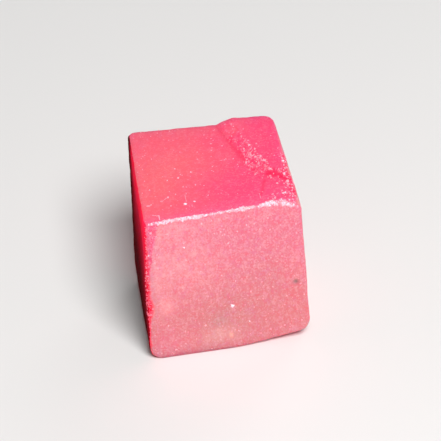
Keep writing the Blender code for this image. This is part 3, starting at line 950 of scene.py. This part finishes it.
def sugarGroup():
    # crystal grains, finer noise, a coarser mottle and upright streaks added up and set around zero:
    # the pale and deep shares of the colour, a violet share by itself, and a height for the bump
    group, given, result = newGroup(
        "sugarGrain",
        {"Vector": "Vector", "Grain Scale": "Float", "Mottle Scale": "Float", "Contrast": "Float"},
        {"Pale": "Float", "Deep": "Float", "Violet": "Float", "Height": "Float"},
    )
    place, grain, mottle = (given[name] for name in ("Vector", "Grain Scale", "Mottle Scale"))
    fine = noise(group, place, grain, *sugarMix["fine"])
    coarse = noise(group, place, mottle, *sugarMix["coarse"])
    drawnOut = movedPlace(group, "MULTIPLY", place, sugarMix["drawnOut"])
    streaks = noise(group, drawnOut, grain, *sugarMix["streaks"])
    tone = times(group, grainCells(group, place, grain)[1], sugarMix["cellWeight"])
    for part, weight in zip((fine, coarse, streaks), sugarMix["weights"]):
        tone = calculate(group, "ADD", tone, times(group, part, weight))
    tone = times(group, calculate(group, "SUBTRACT", tone, sugarMix["middle"]), given["Contrast"])
    fill(group, result["Pale"], calculate(group, "MAXIMUM", tone, 0.0))
    fill(group, result["Deep"], calculate(group, "MAXIMUM", times(group, tone, -1.0), 0.0))
    away = movedPlace(group, "ADD", place, sugarMix["violetAway"])
    violet = noise(group, away, mottle, *sugarMix["violet"])
    fill(group, result["Violet"], ramp(group, violet, *sugarMix["violetShown"]))
    fill(group, result["Height"], fine)
    return group


def speckGroup():
    # round specks: one in each Voronoi cell, shown where its random number is below the share
    group, given, result = newGroup(
        "paleSpecks",
        {"Vector": "Vector", "Scale": "Float", "Radius": "Float", "Share": "Float"},
        {"Mask": "Float"},
    )
    cells, draw = grainCells(group, given["Vector"], given["Scale"])
    inside = ramp(group, cells["Distance"], given["Radius"], 0.0)
    shown = calculate(group, "LESS_THAN", draw, given["Share"])
    fill(group, result["Mask"], times(group, inside, shown))
    return group


sugarGrain = sugarGroup()
paleSpecks = speckGroup()


def sugarOn(tree, place, contrast):
    return placeGroup(tree, sugarGrain, {
        "Vector": place, "Grain Scale": 1.0 / finish["grain"], "Mottle Scale": 1.0 / finish["mottle"],
        "Contrast": contrast,
    })


def specksOn(tree, place, size, radius, share):
    values = {"Vector": place, "Scale": 1.0 / size, "Radius": radius, "Share": share}
    return placeGroup(tree, paleSpecks, values)["Mask"]


def objectPlace(tree, stretch):
    # Object coordinates, drawn out along Z
    place = tree.nodes.new("ShaderNodeTexCoord").outputs["Object"]
    mapping = tree.nodes.new("ShaderNodeMapping")
    fill(tree, mapping.inputs["Vector"], place)
    mapping.inputs["Scale"].default_value = (1.0, 1.0, stretch)
    return mapping.outputs[0]


def setStone(tree, shader, colour, light, height, values):
    # the shader's inputs, linked or set, with the height as a bump
    bump = tree.nodes.new("ShaderNodeBump")
    bump.inputs["Distance"].default_value = values["bump"]
    fill(tree, bump.inputs["Height"], height)
    inputs = {"Base Color": colour, "Emission Color": light, "Normal": bump.outputs[0]}
    for name, value in {**inputs, **finish["stone"], **values["stone"]}.items():
        fill(tree, shader.inputs[name], value)


frosted = {
    "contrast": 5.4,  # of the sugar grain
    "specks": (0.45 * mm, 0.20, 0.30),  # size of their cells, radius in it, share of cells with one
    "splinters": (0.26 * mm, 0.45, 0.24),
    "strength": {"cloud": 0.28, "bevel": 0.85, "ledgeFrost": 0.18, "crease": 0.9, "foot": 0.7},
    "bevelSplinters": 0.8,
    "bandTips": 0.22,
    "grain": (("Pale", 0.40, "sugarPale"), ("Deep", 0.40, "sugarDeep"), ("Violet", 0.28, "sugarViolet")),
    "speckStrength": 0.9,
    "grainRamp": (-0.8, 1.0),  # the grain grows from the first value of the front's mask to the second
    "lowCalmer": 0.18,  # and is this much weaker low down
    # painted glow, emitted by the band, the top's left edge and the crushed places
    "light": {"band": 0.28, "topLeft": 0.22, "rubble": 0.12},
    "bump": 0.02 * mm,
    "stone": {
        "Roughness": 0.55,
        "Specular IOR Level": 0.04,
        "Subsurface Weight": 1.0,
        "Subsurface Radius": (2.4, 0.08, 0.12),  # how far red, green and blue light go in
    },
}


def frostedRuby():
    material, tree, shader = newMaterial("frosted_ruby")
    place = objectPlace(tree, finish["streak"])
    sugar = sugarOn(tree, place, frosted["contrast"])
    specks = specksOn(tree, place, *frosted["specks"])
    splinters = specksOn(tree, place, *frosted["splinters"])
    strength = frosted["strength"]

    # the faces, then the crushed places and the bevel with their pale splinters
    top = layered(tree, "topCoral", ("pinker", 1.0, "topPink"))
    front = layered(tree, "frontPink", ("low", 1.0, "frontLow"))
    front = layered(tree, front, *[(spot, *given[2:]) for spot, given in spots.items()])
    # paler on the tips: partly the pale of crushed ruby, partly a painted highlight
    rubble = layered(tree, "breakPink", ("tips", 1.0, "tipPink"))
    onBevel = times(tree, attribute(tree, "bevel"), frosted["bevelSplinters"])
    broken = calculate(tree, "MAXIMUM", attribute(tree, "rubble"), onBevel)
    colour = layered(
        tree, top,
        ("underRim", 1.0, "nearRimPink"),
        ("front", 1.0, front),
        ("right", 1.0, "frontLow"),
        ("back", 1.0, "breakPink"),
        ("cloud", strength["cloud"], "palePink"),
        ("rubble", 1.0, rubble),
        ("bevel", strength["bevel"], "bevelPink"),
        (splinters, broken, "splinterPink"),
        ("ledgeFrost", strength["ledgeFrost"], "palePink"),
    )

    # the sugar grain, strongest on the front
    calmer = calculate(tree, "SUBTRACT", 1.0, times(tree, attribute(tree, "low"), frosted["lowCalmer"]))
    grainy = times(tree, ramp(tree, attribute(tree, "front"), *frosted["grainRamp"]), calmer)
    for part, share, tone in frosted["grain"]:
        colour = layered(tree, colour, (sugar[part], times(tree, grainy, share), tone))
    # pale specks: partly the frost's own pale grains, partly painted glints
    colour = layered(tree, colour, (specks, times(tree, grainy, frosted["speckStrength"]), "bruised"))

    # the creases, darkened as painted shade, the edges, with a painted glow on the band, and the marks
    # paler tips on the band and the rim: partly the pale of crushed ruby, partly a painted highlight
    band = layered(tree, "paintedGlowRed", ("bandTips", frosted["bandTips"], "splinterPink"))
    bruise = layered(tree, "bruisedPink", ("rimTips", 1.0, "bruisedWhite"))
    colour = layered(
        tree, colour,
        # darker red in the creases and hollows: painted shade
        ("crease", strength["crease"], "deepRed"),
        ("band", 1.0, band),
        ("foot", strength["foot"], "deepRed"),
        ("rim", 1.0, bruise),
        *[(mark, *given[2:]) for mark, given in marks.items()],
    )
    # the painted glow that these places emit
    lit = 0.0
    for name, share in frosted["light"].items():
        lit = calculate(tree, "MAXIMUM", lit, times(tree, attribute(tree, name), share))
    light = layered(tree, "noLight", (lit, 1.0, "edgeLight"))
    setStone(tree, shader, colour, light, sugar["Height"], frosted)
    return material


clear = {
    "contrast": 4.0,
    "specks": (0.55 * mm, 0.22, 0.35),
    "red": (0.02, 0.5),  # values of the painted glow between which the face turns from painted shade to red,
    "lit": (0.38, 1.2),  # and between which it emits its painted glow
    "deep": 0.5,
    "pale": 0.25,
    "speckStrength": 0.6,
    "bump": 0.01 * mm,
    "stone": {
        "Roughness": 0.5,
        "Specular IOR Level": 0.0,
        "Subsurface Weight": 1.0,
        "Subsurface Radius": (3.0, 0.05, 0.10),
    },
}


def clearRuby():
    # the left face: clear deep red, darkened as painted shade, with a painted glow along its front and
    # top edges
    material, tree, shader = newMaterial("clear_ruby")
    place = objectPlace(tree, 1.0)
    sugar = sugarOn(tree, place, clear["contrast"])
    glow = attribute(tree, "glow")
    colour = layered(
        tree, "leftPaintedShade",
        (ramp(tree, glow, *clear["red"]), 1.0, "paintedGlowRed"),
        (sugar["Deep"], clear["deep"], "leftPaintedShade"),
        (sugar["Pale"], clear["pale"], "leftPale"),
        (specksOn(tree, place, *clear["specks"]), clear["speckStrength"], "leftPale"),
    )
    # the painted glow, emitted
    light = layered(tree, "faintLight", (ramp(tree, glow, *clear["lit"]), 1.0, "innerLight"))
    setStone(tree, shader, colour, light, sugar["Height"], clear)
    return material


crushed = {
    "contrast": 5.0,
    "pale": (0.0, 0.7),  # shades between which a crumb turns from pink to pale,
    "white": (0.7, 1.0),  # and from pale to white, on the brightest grains partly a painted glint
    "deep": 0.4,
    "bump": 0.01 * mm,
    "stone": {"Roughness": 0.40, "Specular IOR Level": 0.3, "Subsurface Weight": 0.0},
}


def crushedRuby():
    material, tree, shader = newMaterial("crushed_ruby")
    sugar = sugarOn(tree, objectPlace(tree, 1.0), crushed["contrast"])
    shade = attribute(tree, "shade")
    colour = layered(
        tree, "breakPink",
        (ramp(tree, shade, *crushed["pale"]), 1.0, "bruised"),
        (ramp(tree, shade, *crushed["white"]), 1.0, "grainWhite"),
        (sugar["Deep"], crushed["deep"], "sugarPale"),
    )
    # crumbLight is a painted glow, emitted so that the crumbs' shaded sides stay red
    setStone(tree, shader, colour, finish["crumbLight"], sugar["Height"], crushed)
    return material


skin.data.materials.append(frostedRuby())
skin.data.materials.append(clearRuby())
onLeft = (masks["left"][quads].mean(axis=1) > 0.5).astype(np.int32)
skin.data.polygons.foreach_set("material_index", onLeft)
crushedStone = crushedRuby()
for piece in crumbPieces:
    piece.data.materials.append(crushedStone)

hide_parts("ruby_crystal")
for piece in (skin, *crumbPieces):
    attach(piece, "root")
print("ruby crystal: materials")

studio = {
    "floorSize": 1.2,
    "floorColour": (0.78, 0.77, 0.76, 1.0),
    "floorRoughness": 0.9,
    "worldLight": 0.16,
    "lamps": {
        "key": {"from": (0.060, -0.25, 0.370), "size": 0.20, "power": 2.3},
        "back": {"from": (0.30, 0.35, 0.30), "size": 0.30, "power": 0.35},
    },
}

view = {
    "azimuth": radians(-6.5),  # 0 looks along +Y
    "elevation": radians(40.0),
    "roll": radians(-4.0),
    "aim": (0.70 * mm, 1.265 * mm, 9.092 * mm),  # the point at the middle of the picture
    "distance": 0.280,
    "lens": 253.3,
    "nearest": 0.01,  # nothing closer than this is seen
}


def plainFloor():
    half = 0.5 * studio["floorSize"]
    corners = np.array(((-half, -half, 0.0), (half, -half, 0.0), (half, half, 0.0), (-half, half, 0.0)))
    floor = meshObject("floor", corners, np.array(((0, 1, 2, 3),)), {})
    material, tree, shader = newMaterial("pale_floor")
    shader.inputs["Base Color"].default_value = studio["floorColour"]
    shader.inputs["Roughness"].default_value = studio["floorRoughness"]
    floor.data.materials.append(material)


def softLight(name, spec):
    light = bpy.data.lights.new(name, "AREA")
    light.shape = "DISK"
    light.size = spec["size"]
    light.energy = spec["power"]
    lamp = bpy.data.objects.new(name, light)
    lamp.location = spec["from"]
    towards = Vector((0.0, 0.0, 0.5 * block["height"])) - lamp.location
    lamp.rotation_euler = towards.to_track_quat("-Z", "Y").to_euler()
    bpy.context.scene.collection.objects.link(lamp)


def pictureCamera():
    azimuth, elevation = view["azimuth"], view["elevation"]
    back = Vector((sin(azimuth) * cos(elevation), -cos(azimuth) * cos(elevation), sin(elevation)))
    right = Vector((cos(azimuth), sin(azimuth), 0.0))
    up = back.cross(right)
    turn = Matrix.Rotation(view["roll"], 3, back)
    right, up = turn @ right, turn @ up
    camera = bpy.data.objects.new("camera", bpy.data.cameras.new("camera"))
    camera.data.lens = view["lens"]
    camera.data.clip_start = view["nearest"]
    place = Vector(view["aim"]) + back * view["distance"]
    camera.matrix_world = Matrix.Translation(place) @ Matrix((right, up, back)).transposed().to_4x4()
    bpy.context.scene.collection.objects.link(camera)
    bpy.context.scene.camera = camera


plainFloor()
for name, spec in studio["lamps"].items():
    softLight(name, spec)
world = bpy.data.worlds.new("studio")
world.use_nodes = True
background = world.node_tree.nodes["Background"]
background.inputs["Color"].default_value = (1.0, 1.0, 1.0, 1.0)
background.inputs["Strength"].default_value = studio["worldLight"]
bpy.context.scene.world = world
bpy.context.scene.view_settings.view_transform = "Standard"
pictureCamera()
print("ruby crystal: studio")
